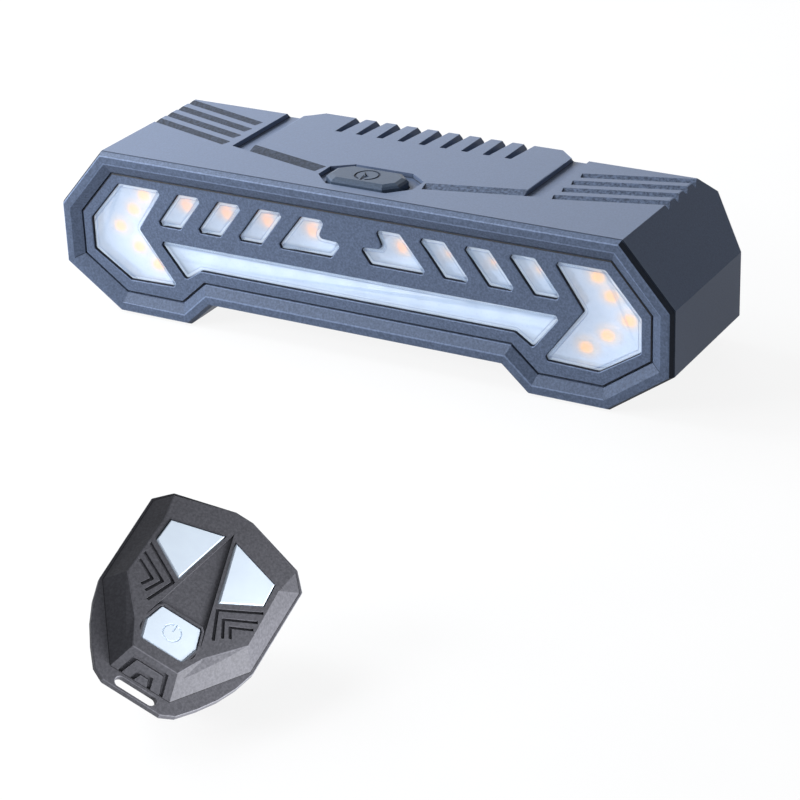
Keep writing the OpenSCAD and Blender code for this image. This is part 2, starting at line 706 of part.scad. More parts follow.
// Battery
module battery_cell() color([0.25, 0.45, 0.7]) in_frame()
    translate([-cell_l / 2, cell_y, cell_z]) rotate([0, 90, 0]) cylinder(d = cell_d, h = cell_l);
module battery_cradle() color([0.13, 0.14, 0.16]) in_frame() difference() {
    block(-cradle_half, cradle_half, boss_end_y, rear_in_y, notch_h + wall, control_z);
    translate([-cell_l / 2 - 0.35, cell_y, cell_z])
        rotate([0, 90, 0]) cylinder(d = cell_d + 2 * fit, h = cell_l + 0.7);
    for (p = bracket_screw_places)
        translate([p[0], 0, p[1]]) bar_y(screw_r + run, rear_in_y - 4.4, rear_in_y + over);
}
module battery_contacts() color([0.8, 0.78, 0.7]) in_frame() mirrored()
    block(cell_l / 2, cell_l / 2 + 0.3, cell_y - 5, cell_y + 7, cell_z - 4, cell_z + 4);
module battery_leads() color([0.75, 0.12, 0.1]) in_frame() mirrored()
    translate([cell_l / 2 + 0.9, cell_y - 4, cell_z]) {
        cylinder(r = 0.6, h = control_z - 0.6 - cell_z, $fn = 20);
        translate([0, 0, control_z - 0.6 - cell_z]) {
            sphere(r = 0.6, $fn = 20);
            rotate([0, -90, 0]) cylinder(r = 0.6, h = cradle_half + 0.7 - control_half, $fn = 20);
        }
    }
module battery_foam() color([0.2, 0.2, 0.22]) in_frame()
    block(-15, 15, cell_y - 4, boss_end_y - fit, cell_z + cell_d / 2, control_z);

// Charging port
module usb_board() color([0.1, 0.32, 0.2]) in_frame() block(
    port_x - 5.9, port_x + 4.5, boss_end_y - 2, rear_in_y - 0.4,
    port_board_z - board_t, port_board_z
);
module usb_socket() color([0.78, 0.79, 0.8]) in_frame() difference() {
    block(port_x - 4.5, port_x + 4.5, boss_end_y + 2, rear_in_y - fit, port_board_z, port_board_z + 3.2);
    block(port_x - 4.1, port_x + 4.1, boss_end_y + 3, lamp_d, port_board_z + 0.35, port_board_z + 2.85);
}
module usb_lead() color([0.75, 0.12, 0.1]) in_frame() {
    translate([port_x + 1, boss_end_y - 0.5, port_board_z + 0.4])
        rotate([90, 0, 0]) cylinder(r = 0.4, h = 2.3, $fn = 16);
    translate([port_x + 1, boss_end_y - 2.8, port_board_z + 0.4]) {
        sphere(r = 0.4, $fn = 16);
        cylinder(r = 0.4, h = control_z - port_board_z - 0.8, $fn = 16);
    }
    translate([port_x + 1, boss_end_y - 2.8, control_z - 0.4]) {
        sphere(r = 0.4, $fn = 16);
        rotate([0, 90, 0]) cylinder(r = 0.4, h = -port_x - control_half, $fn = 16);
    }
}
module usb_cover() color([0.2, 0.22, 0.25]) in_frame() {
    block(port_x - port_cover_w / 2, hinge_x, lamp_d - 0.5, lamp_d + 0.9, port_low_z, port_high_z);
    block(port_x - 4, port_x + 4, lamp_d - 1.5, lamp_d - 0.5, port_z - 1.2, port_z + 1.2);
    translate([hinge_x, hinge_y, port_low_z]) cylinder(r = 0.9, h = port_cover_h);
    translate([hinge_x, hinge_y, port_low_z - 1.2])
        cylinder(r = hinge_pin_r, h = port_cover_h + 2.4, $fn = 24);
}

// Seams and screws
module housing_seal() color([0.08, 0.08, 0.09]) in_frame() difference() {
    slab(inset(lamp_outline, 1 + run), seam_y + run, seam_y + 1 - run);
    slab(inset(lamp_outline, tongue_out - run), seam_y - over, seam_y + 2);
}
module housing_screws() color([0.6, 0.61, 0.63]) in_frame()
    for (p = screw_places) translate([p[0], 0, p[1]]) screw_y(screw_head_y, 1.6, boss_end_y - 4.2);

// Seat post mount
module mount_bracket() color([0.15, 0.16, 0.18]) in_frame() difference() {
    union() {
        slab(rounded([
            [-bracket_w / 2, bracket_low_z], [bracket_w / 2, bracket_low_z],
            [bracket_w / 2, bracket_top_z], [-bracket_w / 2, bracket_top_z]
        ], 2), lamp_d, plate_y);
        mirrored() for (z = [bracket_low_z, strap_low_z + strap_h + 0.2])
            block(pin_x - 2.2, pin_x + 2.2, plate_y - 0.5, pin_y + 2.2, z, z + ear_t);
    }
    mirrored() translate([pin_x, pin_y, 0]) cylinder(r = pin_r + run, h = bracket_top_z);
    for (p = bracket_screw_places) translate([p[0], 0, p[1]]) {
        bar_y(screw_r + fit, lamp_d - over, plate_y);
        bar_y(screw_head_r + fit, plate_y - 1.5, plate_y + over);
    }
}
module bracket_screws() color([0.6, 0.61, 0.63]) in_frame()
    for (p = bracket_screw_places)
        translate([p[0], 0, p[1]]) screw_y(plate_y - 1.5, 1.4, rear_in_y - 4.2);
module saddle_pad() color([0.11, 0.11, 0.12]) in_frame() difference() {
    block(-pad_half_w, pad_half_w, plate_y, plate_y + saddle_base + saddle_sag,
        pad_low_z, pad_low_z + saddle_h);
    translate([0, post_y, 0]) cylinder(r = post_r, h = lamp_h, $fn = 96);
}
module strap_pins() color([0.6, 0.61, 0.63]) in_frame() mirrored()
    translate([pin_x, pin_y, bracket_low_z + fit])
        cylinder(r = pin_r, h = strap_h + 2 * ear_t + 0.2);
module post_strap() color([0.11, 0.11, 0.12]) in_frame() translate([0, 0, strap_low_z]) difference() {
    union() {
        intersection() {
            translate([0, post_y, 0]) cylinder(r = post_r + strap_t, h = strap_h, $fn = 96);
            block(-post_r - 5, post_r + 5, post_y, rear_reach + over, 0, strap_h);
        }
        mirrored() {
            block(post_r - 0.6, post_r + strap_t, pin_y, post_y, 0, strap_h);
            translate([pin_x, pin_y, 0]) cylinder(r = 3.3, h = strap_h);
        }
    }
    translate([0, post_y, -over]) cylinder(r = post_r, h = strap_h + 2 * over, $fn = 96);
    block(-post_r, post_r, pin_y + 4, post_y, -over, strap_h + over);
    mirrored() translate([pin_x, pin_y, -over]) cylinder(r = pin_r + run, h = strap_h + 2 * over);
}

// Remote, measured down from its face
module plate(p, low, high) translate([0, 0, -low]) linear_extrude(low - high) polygon(p);
module tapered(a, low, b, high) loft(a, -low, b, -high);
// the cut that hollows one lower shoulder of the raised body
module shoulder_cut() {
    foot = [[10.3, 4.8, 0], [5.78, -0.92, 0], [3.78, -5.2, 0], [4.6, -5.9, -1], [11.9, 3.9, -1]];
    polyhedron(
        concat(foot, [for (p = foot) p + [0, 0, 2]]),
        concat(
            [[0, 1, 4], [1, 3, 4], [1, 2, 3], [9, 6, 5], [9, 8, 6], [8, 7, 6]],
            [for (i = [0:4]) [i, 5 + i, 5 + (i + 1) % 5, (i + 1) % 5]]
        )
    );
}
// the outline of a bent line from p through c to q
function bent_line(p, c, q, w) =
    let (
        u = unit(c - p), v = unit(q - c), m = [-u[1], u[0]] * w / 2, n = [-v[1], v[0]] * w / 2,
        bend = (m + n) / (1 + unit(m) * unit(n))
    )
    [p - m, c - bend, q - n, q + n, c + bend, p + m];
module corner_groove(p, c, q) plate(bent_line(p, c, q, chevron_w), chevron_depth, -over);

module remote_top_shell() color([0.31, 0.32, 0.36]) in_remote() difference() {
    union() {
        tapered(foot_outline, raise_h, face_outline, 0);
        plate(rim_outline, rim_low, raise_h);
    }
    tapered(inset(foot_outline, shell_t), raise_h, inset(face_outline, shell_t), shell_t);
    plate(inset(foot_outline, shell_t), rim_low + over, raise_h);
    mirrored() {
        shoulder_cut();
        plate(inset(turn_key, -key_gap), foot_low + 0.6, -over);
        corner_groove([9.8, 10.9], [3.8, 7.25], [5.6, 2.5]);
        corner_groove([9.8, 9.05], [5.25, 6.45], [6.6, 3.6]);
        corner_groove([9.8, 7.6], [6.7, 5.9], [7.6, 4.2]);
    }
    plate(inset(power_key, -key_gap), shell_t + over, -over);
    difference() {
        plate(panel_outline, panel_depth, -over);
        plate(inset(power_key, -key_gap - 0.35), shell_t, -2 * over);
    }
    translate([0, slot_v, -rim_low - over]) lanyard_slot();
    nose_groove(2.8, 0.9);
    nose_groove(1.2, 2.5);
}
// the lanyard slot's round-ended hole
module lanyard_slot() {
    end_x = (slot_l - slot_w) / 2;
    block(-end_x, end_x, -slot_w / 2, slot_w / 2, 0, rim_low + 2 * over);
    mirrored() translate([end_x, 0, 0]) cylinder(d = slot_w, h = rim_low + 2 * over, $fn = 24);
}
// a groove on the sloped nose: square at the top, its arms spread down to the nose's foot
module nose_groove(half, top) {
    foot = nose_len - run;
    flare = (foot - top) * (foot_outline[0][0] - face_outline[0][0]) / nose_len;
    inner = half - nose_groove_w;
    translate([0, nose_v, 0]) rotate([nose_slope, 0, 0]) translate([0, 0, -chevron_depth])
        linear_extrude(chevron_depth + over) polygon(both([
            [inner, -top - nose_groove_w], [inner + flare, -foot], [half + flare, -foot], [half, -top]
        ]));
}

module remote_base() color([0.24, 0.25, 0.28]) in_remote() {
    difference() {
        tapered(base_foot, base_low, base_rim, base_top);
        tapered(
            inset(base_foot, shell_t), base_low - shell_t,
            inset(base_rim, shell_t), base_top - 0.01
        );
    }
    for (v = [eye_v, 2 * bar_v - eye_v]) translate([0, v, -eye_low]) {
        rotate([0, 90, 0]) cylinder(r = peg_r, h = band_w + 2.4, center = true, $fn = 24);
        mirrored() block(band_w / 2 + 0.2, band_w / 2 + 1.2, -1.3, 1.3, -1.3, eye_low - base_low + 0.5);
    }
}

module turn_button() {
    plate(turn_key, key_low, -0.15);
    plate(turn_key_foot, foot_low, key_low);
    translate([turn_stem[0], turn_stem[1], -dome_top + key_travel + run])
        cylinder(r = 1, h = 1, $fn = 24);
}
module remote_right_key() color([0.86, 0.9, 0.95]) in_remote() turn_button();
module remote_left_key() color([0.86, 0.9, 0.95]) in_remote() mirror([1, 0, 0]) turn_button();
module remote_power_key() color([0.86, 0.9, 0.95]) in_remote() difference() {
    union() {
        plate(power_key, key_low, 0.1);
        plate(power_key_foot, foot_low, key_low);
        translate([0, 0, -dome_top + key_travel + run]) cylinder(r = 1, h = 1, $fn = 24);
    }
    translate([0, 0, -0.1]) power_sign(1.5, 0.25, 0.1);
}
module remote_switches() color([0.7, 0.71, 0.72]) in_remote()
    for (p = [[0, 0], turn_stem, [-turn_stem[0], turn_stem[1]]]) translate([p[0], p[1], 0]) {
        block(-1.8, 1.8, -1.8, 1.8, -remote_board_top, -dome_top - 0.2);
        translate([0, 0, -dome_top - 0.2]) cylinder(r = 1.1, h = 0.2, $fn = 24);
    }
module remote_board() color([0.1, 0.32, 0.2]) in_remote()
    plate(inset(foot_outline, shell_t + 0.3), remote_board_low, remote_board_top);
module remote_chips() color([0.09, 0.09, 0.1]) in_remote() {
    block(-2.2, 2.2, 5.5, 9.9, -remote_board_top, -remote_board_top + 0.9);
    for (x = [-1.5, 1.5]) block(x - 0.5, x + 0.5, 12, 13.6, -remote_board_top, -remote_board_top + 0.5);
}
module coin_cell() color([0.75, 0.76, 0.78]) in_remote()
    translate([coin_at[0], coin_at[1], -coin_top - coin_t]) cylinder(d = coin_d, h = coin_t);
module coin_contact() color([0.8, 0.7, 0.45]) in_remote() {
    block(-2, 2, coin_at[1] - coin_d / 2 - 0.5, coin_at[1] + 6,
        -coin_top - coin_t - 0.25, -coin_top - coin_t);
    block(-2, 2, coin_at[1] - coin_d / 2 - 0.5, coin_at[1] - coin_d / 2 - 0.2,
        -coin_top - coin_t, -remote_board_low);
}
module remote_saddle() color([0.1, 0.1, 0.11]) in_remote() difference() {
    block(-bar_pad_w / 2, bar_pad_w / 2, bar_v - bar_half_l, bar_v + bar_half_l,
        -base_low - bar_base - bar_sag, -base_low);
    translate([-bar_pad_w, bar_v, -base_low - bar_base - bar_r])
        rotate([0, 90, 0]) cylinder(r = bar_r, h = 2 * bar_pad_w, $fn = 96);
}
module remote_band() color([0.1, 0.1, 0.11]) in_remote() difference() {
    translate([-band_w / 2, bar_v, -hook_low]) union() {
        intersection() {
            scale([1, band_a, band_depth]) rotate([0, 90, 0]) cylinder(r = 1, h = band_w, $fn = 96);
            block(-over, band_w + over, -band_a - over, band_a + over, -band_depth - over, 0);
        }
        for (v = [-1, 1]) {
            translate([0, v * (band_a - band_t / 2), 0])
                block(0, band_w, -band_t / 2, band_t / 2, 0, hook_low - eye_low);
            translate([0, v * (band_a - band_t / 2), hook_low - eye_low])
                rotate([0, 90, 0]) cylinder(r = 1.4, h = band_w, $fn = 32);
        }
    }
    intersection() {
        translate([-band_w, bar_v, -hook_low]) scale([1, band_a - band_t, band_depth - band_t])
            rotate([0, 90, 0]) cylinder(r = 1, h = 2 * band_w, $fn = 96);
        block(-band_w, band_w, bar_v - band_a, bar_v + band_a, -base_low - 20, -hook_low);
    }
    for (v = [eye_v, 2 * bar_v - eye_v]) translate([-band_w, v, -eye_low])
        rotate([0, 90, 0]) cylinder(r = peg_r + run, h = 2 * band_w, $fn = 24);
}

rear_housing();
front_bezel();
front_mask();
front_lens();
bar_diffuser();
light_box();
front_frame();
led_board();
amber_leds_left();
amber_leds_right();
bar_leds();
board_link();
control_board();
control_chips();
radio_module();
switch_body();
switch_plunger();
power_button();
battery_cell();
battery_cradle();
battery_contacts();
battery_leads();
battery_foam();
usb_board();
usb_socket();
usb_lead();
usb_cover();
housing_seal();
housing_screws();
mount_bracket();
bracket_screws();
saddle_pad();
strap_pins();
post_strap();
remote_top_shell();
remote_base();
remote_left_key();
remote_right_key();
remote_power_key();
remote_switches();
remote_board();
remote_chips();
coin_cell();
coin_contact();
remote_saddle();
remote_band();
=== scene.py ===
import json
import math

import bmesh
import bpy
from mathutils import Matrix, Vector

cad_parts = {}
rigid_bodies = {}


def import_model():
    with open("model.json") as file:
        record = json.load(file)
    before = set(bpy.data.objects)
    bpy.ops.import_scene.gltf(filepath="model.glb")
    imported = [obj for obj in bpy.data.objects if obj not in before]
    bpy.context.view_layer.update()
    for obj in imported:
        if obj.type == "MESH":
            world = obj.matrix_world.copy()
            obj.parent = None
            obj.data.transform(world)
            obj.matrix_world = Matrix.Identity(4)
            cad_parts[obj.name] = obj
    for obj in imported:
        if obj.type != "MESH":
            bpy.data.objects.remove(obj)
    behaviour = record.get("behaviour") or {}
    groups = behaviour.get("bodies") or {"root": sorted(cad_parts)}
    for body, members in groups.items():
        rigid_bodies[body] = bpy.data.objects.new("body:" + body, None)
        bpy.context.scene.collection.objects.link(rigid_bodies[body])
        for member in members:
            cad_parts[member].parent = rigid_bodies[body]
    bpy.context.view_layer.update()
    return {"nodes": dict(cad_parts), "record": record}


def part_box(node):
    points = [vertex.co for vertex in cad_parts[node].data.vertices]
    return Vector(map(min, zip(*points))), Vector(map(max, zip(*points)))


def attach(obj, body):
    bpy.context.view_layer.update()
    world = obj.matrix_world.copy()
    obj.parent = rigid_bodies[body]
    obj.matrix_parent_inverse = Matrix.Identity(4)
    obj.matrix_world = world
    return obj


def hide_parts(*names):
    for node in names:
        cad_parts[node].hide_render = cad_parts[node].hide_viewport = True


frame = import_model()
nodes = frame["nodes"]
mm = 0.001
mergeGap = 0.002 * mm  # vertices nearer than this are one
planeGap = 0.02 * mm  # what lies this near a plane lies in it
print("frame loaded:", len(nodes), "nodes")


# Camera, fitted to the photograph
cameraView = {
    "place": Vector((226.31, -343.556, 200.39)) * mm,
    "right": Vector((0.8719, 0.48849, -0.03425)),
    "forward": Vector((-0.45332, 0.77871, -0.43373)),
    "lens": 113.74,
    "sensor": 36,
    "clipStart": 0.01,
}


def addCamera(view):
    forward = view["forward"].normalized()
    up = view["right"].cross(forward).normalized()
    right = forward.cross(up).normalized()
    data = bpy.data.cameras.new("camera")
    data.lens = view["lens"]
    data.sensor_width = view["sensor"]
    data.clip_start = view["clipStart"]
    camera = bpy.data.objects.new("camera", data)
    turn = Matrix((right, up, -forward)).transposed().to_4x4()
    camera.matrix_world = Matrix.Translation(view["place"]) @ turn
    bpy.context.collection.objects.link(camera)
    bpy.context.scene.camera = camera


addCamera(cameraView)
bpy.context.scene.view_settings.view_transform = "Standard"
print("camera placed")


# Materials: a value that is a socket is linked, any other is set
class NodeTree:
    def __init__(self, owner, shader, output):
        owner.use_nodes = True
        self.tree = owner.node_tree
        self.shader = self.tree.nodes[shader]
        self.output = self.tree.nodes[output]

    def put(self, socket, value):
        if isinstance(value, bpy.types.NodeSocket):
            self.tree.links.new(value, socket)
        else:
            socket.default_value = (*value, 1) if socket.type == "RGBA" else value

    def add(self, kind, inputs=(), **settings):
        node = self.tree.nodes.new(kind)
        for key, value in settings.items():
            setattr(node, key, value)
        for key, value in dict(inputs).items():
            self.put(node.inputs[key], value)
        return node

    def set(self, **values):
        for key, value in values.items():
            self.put(self.shader.inputs[key.replace("_", " ")], value)

    def maths(self, operation, first, second=0.0):
        return self.add("ShaderNodeMath", {0: first, 1: second}, operation=operation).outputs[0]

    # a mix of two shaders becomes what is shown
    def show(self, share, first, second):
        both = self.add("ShaderNodeMixShader", {0: share, 1: first, 2: second}).outputs[0]
        self.tree.links.new(both, self.output.inputs["Surface"])

    # 1 for the rays that see the background: from the camera, through clear pieces and off shiny ones
    def seenRays(self):
        path = self.add("ShaderNodeLightPath").outputs
        seen = self.maths("MAXIMUM", path["Is Camera Ray"], path["Is Transmission Ray"])
        return self.maths("MAXIMUM", seen, path["Is Glossy Ray"])


class Finish(NodeTree):
    def __init__(self, name):
        self.material = bpy.data.materials.new(name)
        super().__init__(self.material, "Principled BSDF", "Material Output")
        self.place = self.add("ShaderNodeTexCoord").outputs["Object"]

    def noise(self, scale, detail=3, rough=0.55):
        inputs = {"Vector": self.place, "Scale": scale, "Detail": detail, "Roughness": rough}
        return self.add("ShaderNodeTexNoise", inputs).outputs["Fac"]

    # from one colour to another as a pattern rises
    def ramp(self, pattern, first, second, low=0.3, high=0.7):
        node = self.add("ShaderNodeValToRGB", {"Fac": pattern})
        start, end = node.color_ramp.elements
        start.position, start.color = low, (*first, 1)
        end.position, end.color = high, (*second, 1)
        return node.outputs["Color"]

    def mixed(self, factor, first, second):
        return self.add("ShaderNodeMix", {0: factor, 6: first, 7: second}, data_type="RGBA").outputs[2]

    # a value up to a near distance, falling smoothly to nothing at a far one
    def fall(self, distance, near, far, value=1):
        inputs = {0: distance, 1: near, 2: far, 3: value, 4: 0}
        return self.add("ShaderNodeMapRange", inputs, interpolation_type="SMOOTHSTEP").outputs[0]

    # roughness that rises with a pattern
    def roughen(self, lowest, pattern, spread):
        self.set(Roughness=self.maths("ADD", lowest, self.maths("MULTIPLY", pattern, spread)))

    def bump(self, height, distance):
        normal = self.add("ShaderNodeBump", {"Height": height, "Distance": distance}).outputs["Normal"]
        self.tree.links.new(normal, self.shader.inputs["Normal"])


def tinted(colour, factor):
    return tuple(min(1.0, c * factor) for c in colour)


# moulded plastic with a spark-eroded grain under faint clouds
sparkGrain = {
    "gloss": 0.13, "low": 0.35, "high": 0.68, "roughBelow": 0.06, "roughSpread": 0.14,
    "cloud": 55, "cloudShare": 0.3, "cloudTint": 0.88,
}


def grainedPlastic(name, colour, rough, grain, depth, contrast):
    m = Finish(name)
    fine = m.noise(grain, 2, 0.6)
    cloud = m.maths("MULTIPLY", m.noise(sparkGrain["cloud"], 4), sparkGrain["cloudShare"])
    dark, light = tinted(colour, 1 - contrast), tinted(colour, 1 + contrast)
    speck = m.ramp(fine, dark, light, sparkGrain["low"], sparkGrain["high"])
    m.set(Base_Color=m.mixed(cloud, speck, tinted(colour, sparkGrain["cloudTint"])))
    m.set(Specular_IOR_Level=sparkGrain["gloss"])
    m.roughen(rough - sparkGrain["roughBelow"], fine, sparkGrain["roughSpread"])
    m.bump(fine, depth * mm)
    return m.material


# rubber, laminate, sleeves and plain mouldings: soft mottling and a fine skin
mottle = {"dark": 0.85, "light": 1.12, "roughBelow": 0.08, "roughSpread": 0.16}


def plainMoulding(name, colour, rough, grain=900, depth=0.02, metal=0.0):
    m = Finish(name)
    fine = m.noise(grain)
    dark, light = tinted(colour, mottle["dark"]), tinted(colour, mottle["light"])
    m.set(Base_Color=m.ramp(fine, dark, light), Metallic=metal)
    m.roughen(rough - mottle["roughBelow"], fine, mottle["roughSpread"])
    m.bump(fine, depth * mm)
    return m.material


# frosted clear plastic: partly seen through, partly milky, with a faint painted glow as if the light box
# lit it
frost = {
    "scale": 1500, "depth": 0.015, "rough": 0.22, "roughSpread": 0.14, "bend": 1.49,
    "cloud": 180, "dark": 0.93, "light": 1.03, "low": 0.35, "high": 0.65,
    "clearTint": (0.96, 0.98, 1.0),
}


def lensPlastic(name, milk, clear, glow):
    m = Finish(name)
    fine = m.noise(frost["scale"], 2)
    dark, light = tinted(milk, frost["dark"]), tinted(milk, frost["light"])
    shade = m.ramp(m.noise(frost["cloud"]), dark, light, frost["low"], frost["high"])
    m.set(Base_Color=shade, Emission_Color=shade, Emission_Strength=glow, IOR=frost["bend"])
    m.roughen(frost["rough"], fine, frost["roughSpread"])
    m.bump(fine, frost["depth"] * mm)
    through = m.add("ShaderNodeBsdfTransparent", {"Color": frost["clearTint"]}).outputs[0]
    m.show(1 - clear, through, m.shader.outputs[0])
    return m.material


# translucent key with a painted glow: an emission that brightens it, though it holds no lamp
keySkin = {"cloud": 160, "dark": 0.95, "light": 1.04, "rough": 0.35, "roughSpread": 0.1}


def paintedGlowKey(name, colour, glow):
    m = Finish(name)
    cloud = m.noise(keySkin["cloud"])
    shade = m.ramp(cloud, tinted(colour, keySkin["dark"]), tinted(colour, keySkin["light"]))
    m.set(Base_Color=shade, Emission_Color=shade, Emission_Strength=glow)
    m.roughen(keySkin["rough"], cloud, keySkin["roughSpread"])
    return m.material


# white moulding with a painted glow, and how a painted spot of light fades on it, in shares of its core's
# size; it is wider across
litSkin = {"scale": 900, "dark": 0.95, "light": 1.03, "rough": 0.45}
spotFade = {"across": 0.82, "haloFrom": 0.8, "haloShare": 0.8, "coreFrom": 0.35, "coreTo": 1.3}


# a spot of light is painted round each chip: a glowing core that fades into a pale painted halo. The chips
# beyond a width may have another core, those between two places may be fainter, and a strip may have a
# painted shadow line along it
def litWhite(name, spots, lit):
    m = Finish(name)
    flat = m.add("ShaderNodeMapping", {"Vector": m.place, "Scale": (spotFade["across"], 0, 1)}).outputs[0]
    axes = m.add("ShaderNodeSeparateXYZ", {0: m.place}).outputs
    dark, light = tinted(lit["white"], litSkin["dark"]), tinted(lit["white"], litSkin["light"])
    shade = m.ramp(m.noise(litSkin["scale"]), dark, light)
    core = lit["core"]
    if "outer" in lit:
        beyond = m.maths("GREATER_THAN", m.maths("ABSOLUTE", axes[0]), lit["outer"]["from"] * mm)
        core = m.mixed(beyond, core, lit["outer"]["core"])
    if "shadeLine" in lit:
        shadeLine = lit["shadeLine"]
        off = m.maths("ABSOLUTE", m.maths("SUBTRACT", axes[2], shadeLine["z"] * mm))
        line = m.fall(off, shadeLine["from"] * mm, shadeLine["to"] * mm, shadeLine["share"])
        shade = m.mixed(line, shade, shadeLine["colour"])
    near = None
    for x, y, z in spots:
        inputs = {0: flat, 1: (x * spotFade["across"], 0, z)}
        far = m.add("ShaderNodeVectorMath", inputs, operation="DISTANCE").outputs["Value"]
        near = m.maths("MINIMUM", near, far) if near else far
    if "faint" in lit:
        faint = lit["faint"]
        after = m.maths("GREATER_THAN", axes[0], faint["from"] * mm)
        before = m.maths("LESS_THAN", axes[0], faint["to"] * mm)
        weak = m.maths("MULTIPLY", m.maths("MULTIPLY", after, before), faint["fade"] * mm)
        near = m.maths("ADD", near, weak)
    size = lit["coreSize"]
    wide = m.fall(near, size * spotFade["haloFrom"] * mm, lit["haloSize"] * mm)
    tight = m.fall(near, size * spotFade["coreFrom"] * mm, size * spotFade["coreTo"] * mm)
    pale = m.mixed(m.maths("MULTIPLY", wide, spotFade["haloShare"]), shade, lit["halo"])
    warm = m.mixed(tight, pale, core)
    m.set(Base_Color=warm, Emission_Color=warm, Roughness=litSkin["rough"])
    m.set(Emission_Strength=m.maths("ADD", lit["glow"], m.maths("MULTIPLY", tight, lit["coreGlow"])))
    return m.material


# middles of a node's separate chips
def chipMiddles(name):
    bm = bmesh.new()
    bm.from_mesh(nodes[name].data)
    bmesh.ops.remove_doubles(bm, verts=bm.verts, dist=mergeGap)
    left, middles = set(bm.verts), []
    while left:
        chip, edge = set(), [left.pop()]
        while edge:
            vert = edge.pop()
            chip.add(vert)
            for other in [e.other_vert(vert) for e in vert.link_edges]:
                if other in left:
                    left.discard(other)
                    edge.append(other)
        middles.append(sum((v.co for v in chip), Vector()) / len(chip))
    bm.free()
    return middles


chevronFrom = 44  # the chevrons' chips lie beyond this half width, in mm
# the lens shifts the chips a little, each row in its own way
chipShift = {"chevron": Vector((-0.4, 0, -0.3)) * mm, "row": Vector((-1.2, 0, 0.4)) * mm}
amberSpots = [
    p + chipShift["chevron" if abs(p.x) > chevronFrom * mm else "row"]
    for p in chipMiddles("amber_leds_left") + chipMiddles("amber_leds_right")
]
barSpots = chipMiddles("bar_leds")
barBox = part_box("bar_diffuser")

# painted light on the LED board and the bar: glows, cores and halos, and the bar's painted shadow line
litBoard = {
    "white": (0.76, 0.83, 0.96), "glow": 0.44,
    "core": (1.0, 0.4, 0.09), "coreSize": 1.35, "coreGlow": 0.85,
    "halo": (1.0, 0.72, 0.46), "haloSize": 3.1,
    "outer": {"from": chevronFrom, "core": (1.0, 0.43, 0.02)},
    "faint": {"from": 16, "to": 43, "fade": 0.7},
}
litStrip = {
    "white": (0.84, 0.89, 0.97), "glow": 0.38,
    "core": (0.92, 0.95, 1.0), "coreSize": 1.6, "coreGlow": 0.08,
    "halo": (0.88, 0.93, 1.0), "haloSize": 3.2,
    "shadeLine": {"z": (barBox[0][2] + barBox[1][2]) / 2 / mm - 0.9, "from": 0.1, "to": 0.45,
               "share": 0.5, "colour": (0.5, 0.58, 0.74)},
}

caseBlue = (0.115, 0.15, 0.23)
remoteGrey = (0.112, 0.113, 0.13)
milkBlue = (0.72, 0.83, 0.97)
# name, colour, roughness, scale of the grain, its depth in mm, its contrast
grainedFinishes = {
    "case": ("case plastic", caseBlue, 0.45, 3200, 0.02, 0.1),
    # painted highlight on the case's rounded rims
    "caseRimHighlight": ("case rim highlight", tinted(caseBlue, 1.5), 0.4, 3200, 0.02, 0.12),
    # painted shade in the case's creases and seams, and in the power sign's sunken line
    "shadedCrease": ("case crease", tinted(caseBlue, 0.3), 0.6, 3200, 0.02, 0.2),
    # the left slopes: a darker copy of the right ones, painted shade
    "coarseLeftShade": ("coarse slope, left, painted shade", tinted(caseBlue, 0.24), 0.6, 1700, 0.12, 0.55),
    "coarseRight": ("coarse slope, right", tinted(caseBlue, 0.72), 0.5, 1700, 0.12, 0.5),
    "bezel": ("bezel plastic", tinted(caseBlue, 0.86), 0.5, 2400, 0.05, 0.25),
    # painted highlight on the rounded rims of the bezel and of the mask's windows
    "bezelRimHighlight": ("bezel rim highlight", tinted(caseBlue, 1.45), 0.45, 2400, 0.04, 0.2),
    # painted shade on the bezel's ends
    "bezelSideShade": ("bezel side, painted shade", tinted(caseBlue, 0.16), 0.6, 2400, 0.03, 0.15),
    "mask": ("mask plastic", tinted(caseBlue, 0.95), 0.5, 2400, 0.05, 0.25),
    # painted shade on the walls of the mask's windows
    "maskWallShade": ("mask wall, painted shade", (0.018, 0.021, 0.032), 0.6, 2400, 0.03, 0.15),
    "button": ("button plastic", (0.05, 0.072, 0.112), 0.45, 2600, 0.03, 0.15),
    # painted shade on the button's rounded rim
    "buttonRimShade": ("button rim, painted shade", (0.045, 0.065, 0.1), 0.4, 2600, 0.03, 0.15),
    "remote": ("remote plastic", remoteGrey, 0.5, 2400, 0.04, 0.2),
    # painted highlight on the remote's rounded rims
    "remoteRimHighlight": ("remote rim highlight", tinted(remoteGrey, 1.6), 0.45, 2400, 0.03, 0.15),
    # painted shade in the remote's creases
    "remoteShadedCrease": ("remote crease", tinted(remoteGrey, 0.3), 0.6, 2400, 0.03, 0.15),
    "remoteBase": ("remote base plastic", tinted(remoteGrey, 0.6), 0.5, 2400, 0.05, 0.2),
}
